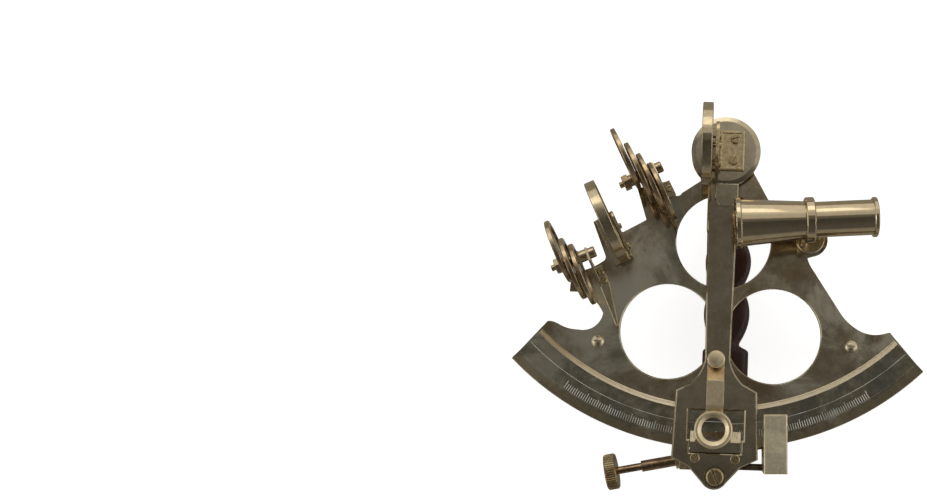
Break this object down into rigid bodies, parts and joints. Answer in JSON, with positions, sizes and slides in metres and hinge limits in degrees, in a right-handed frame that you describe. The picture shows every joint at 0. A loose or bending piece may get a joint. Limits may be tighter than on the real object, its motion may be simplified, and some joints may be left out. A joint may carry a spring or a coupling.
{
  "type": "nautical sextant",
  "caption": "Brass sextant with swinging index arm, vernier, magnifier, tangent screw and clamp, two mirrors, tinted shades, telescope, wooden grip and standing legs.",
  "frame": {"origin": "index arm's pivot axis at the plane the three legs stand on", "axes": "+Z is the frame plate's normal, from the legs to the mirrors; +X is towards the eyepiece side; -Y is along the resting index arm to the limb"},
  "size_m": [0.2152, 0.1984, 0.0955],
  "materials": {
    "aged_brass": "polished brass with brown and blue-grey tarnish",
    "polished_brass": "polished golden brass",
    "dark_brass": "coppery dark brass",
    "handle_wood": "dark red-brown varnished hardwood",
    "lens_glass": "clear polished glass",
    "mirror_silver": "silvered glass",
    "index_shade_glass": "tinted amber-brown glass",
    "horizon_shade_glass": "tinted smoky glass"
  },
  "bodies": {
    "frame": {"frame_plate": "aged_brass", "limb_scale": "aged_brass", "pivot_bearing": "aged_brass", "limb_legs": "polished_brass", "pivot_leg": "polished_brass", "frame_screws": "polished_brass", "handle_grip": "handle_wood", "handle_posts": "polished_brass", "horizon_mirror_bracket": "polished_brass", "horizon_mirror_cup": "polished_brass", "horizon_mirror_glass": "mirror_silver", "horizon_mirror_adjusters": "polished_brass", "bracket_screws": "polished_brass", "index_shade_bracket": "polished_brass", "horizon_shade_bracket": "polished_brass", "shade_pins": "polished_brass", "shade_nuts": "polished_brass", "shade_washers": "polished_brass", "telescope_bracket": "polished_brass", "telescope_collar": "polished_brass", "telescope_tube": "polished_brass", "objective_lens": "lens_glass"},
    "index_arm_body": {"index_arm": "aged_brass", "pivot_disc": "aged_brass", "pivot_shaft": "dark_brass", "pivot_retaining_screw": "polished_brass", "index_mirror_bracket": "polished_brass", "index_mirror_cup": "polished_brass", "index_mirror_glass": "mirror_silver", "index_mirror_adjusters": "polished_brass", "arm_screws": "polished_brass", "vernier_scale": "aged_brass", "tangent_block": "polished_brass", "tangent_block_screw": "polished_brass", "magnifier_post": "polished_brass", "magnifier_knob": "polished_brass"},
    "eyepiece": {"eyepiece_tube": "polished_brass", "eyepiece_lens": "lens_glass"},
    "magnifier": {"magnifier_arm": "polished_brass", "magnifier_lens": "lens_glass"},
    "tangent_screw_body": {"tangent_screw": "dark_brass", "tangent_knob": "polished_brass"},
    "tangent_nut_body": {"tangent_nut": "polished_brass"},
    "clamp": {"clamp_block": "polished_brass", "clamp_guide_bar": "dark_brass"},
    "clamp_screw_body": {"clamp_screw": "dark_brass"},
    "index_shade_1": {"index_shade_1_frame": "polished_brass", "index_shade_1_glass": "index_shade_glass"},
    "index_shade_2": {"index_shade_2_frame": "polished_brass", "index_shade_2_glass": "index_shade_glass"},
    "index_shade_3": {"index_shade_3_frame": "polished_brass", "index_shade_3_glass": "index_shade_glass"},
    "index_shade_4": {"index_shade_4_frame": "polished_brass", "index_shade_4_glass": "index_shade_glass"},
    "horizon_shade_1": {"horizon_shade_1_frame": "polished_brass", "horizon_shade_1_glass": "horizon_shade_glass"},
    "horizon_shade_2": {"horizon_shade_2_frame": "polished_brass", "horizon_shade_2_glass": "horizon_shade_glass"},
    "horizon_shade_3": {"horizon_shade_3_frame": "polished_brass", "horizon_shade_3_glass": "horizon_shade_glass"}
  },
  "joints": [
    {"name": "index_arm_swing", "type": "hinge", "parent": "frame", "child": "index_arm_body", "pos_m": [0, 0, 0.05], "axis": [0, 0, 1], "range_deg": [-27, 28]},
    {"name": "eyepiece_draw", "type": "slide", "parent": "frame", "child": "eyepiece", "axis": [0.9969, 0.0785, 0], "range_m": [-0.006, 0.008]},
    {"name": "magnifier_swing", "type": "hinge", "parent": "index_arm_body", "child": "magnifier", "pos_m": [-0.0008, -0.1075, 0.0538], "axis": [0, 0, 1], "range_deg": [-40, 40]},
    {"name": "tangent_screw_turn", "type": "hinge", "parent": "index_arm_body", "child": "tangent_screw_body", "pos_m": [-0.0538, -0.1682, 0.039], "axis": [0.9781, 0.2079, 0], "range_deg": [-1080, 1080]},
    {"name": "tangent_nut_travel", "type": "slide", "parent": "index_arm_body", "child": "tangent_nut_body", "axis": [0.9781, 0.2079, 0], "range_m": [-0.0023, 0.0023]},
    {"name": "clamp_travel", "type": "hinge", "parent": "index_arm_body", "child": "clamp", "pos_m": [0, 0, 0.05], "axis": [0, 0, 1], "range_deg": [-0.84, 0.84]},
    {"name": "clamp_screw_turn", "type": "hinge", "parent": "clamp", "child": "clamp_screw_body", "pos_m": [0.0313, -0.1406, 0.035], "axis": [0, 0, 1], "range_deg": [-360, 0]},
    {"name": "index_shade_1_swing", "type": "hinge", "parent": "frame", "child": "index_shade_1", "pos_m": [-0.0527, -0.018, 0.055], "axis": [-0.8878, -0.4602, 0], "range_deg": [-74, 73]},
    {"name": "index_shade_2_swing", "type": "hinge", "parent": "frame", "child": "index_shade_2", "pos_m": [-0.0527, -0.018, 0.055], "axis": [-0.8878, -0.4602, 0], "range_deg": [-44, 103]},
    {"name": "index_shade_3_swing", "type": "hinge", "parent": "frame", "child": "index_shade_3", "pos_m": [-0.0527, -0.018, 0.055], "axis": [-0.8878, -0.4602, 0], "range_deg": [-22, 125]},
    {"name": "index_shade_4_swing", "type": "hinge", "parent": "frame", "child": "index_shade_4", "pos_m": [-0.0527, -0.018, 0.055], "axis": [-0.8878, -0.4602, 0], "range_deg": [0, 147]},
    {"name": "horizon_shade_1_swing", "type": "hinge", "parent": "frame", "child": "horizon_shade_1", "pos_m": [-0.0863, -0.0627, 0.055], "axis": [-0.9135, -0.4067, 0], "range_deg": [-62, 85]},
    {"name": "horizon_shade_2_swing", "type": "hinge", "parent": "frame", "child": "horizon_shade_2", "pos_m": [-0.0863, -0.0627, 0.055], "axis": [-0.9135, -0.4067, 0], "range_deg": [-30, 117]},
    {"name": "horizon_shade_3_swing", "type": "hinge", "parent": "frame", "child": "horizon_shade_3", "pos_m": [-0.0863, -0.0627, 0.055], "axis": [-0.9135, -0.4067, 0], "range_deg": [-16, 131]}
  ],
  "couplings": [
    {"joint": "tangent_nut_travel", "follows": "tangent_screw_turn", "m_per_rad": 0.00011937},
    {"joint": "clamp_travel", "follows": "tangent_screw_turn", "ratio": 0.00077775}
  ]
}
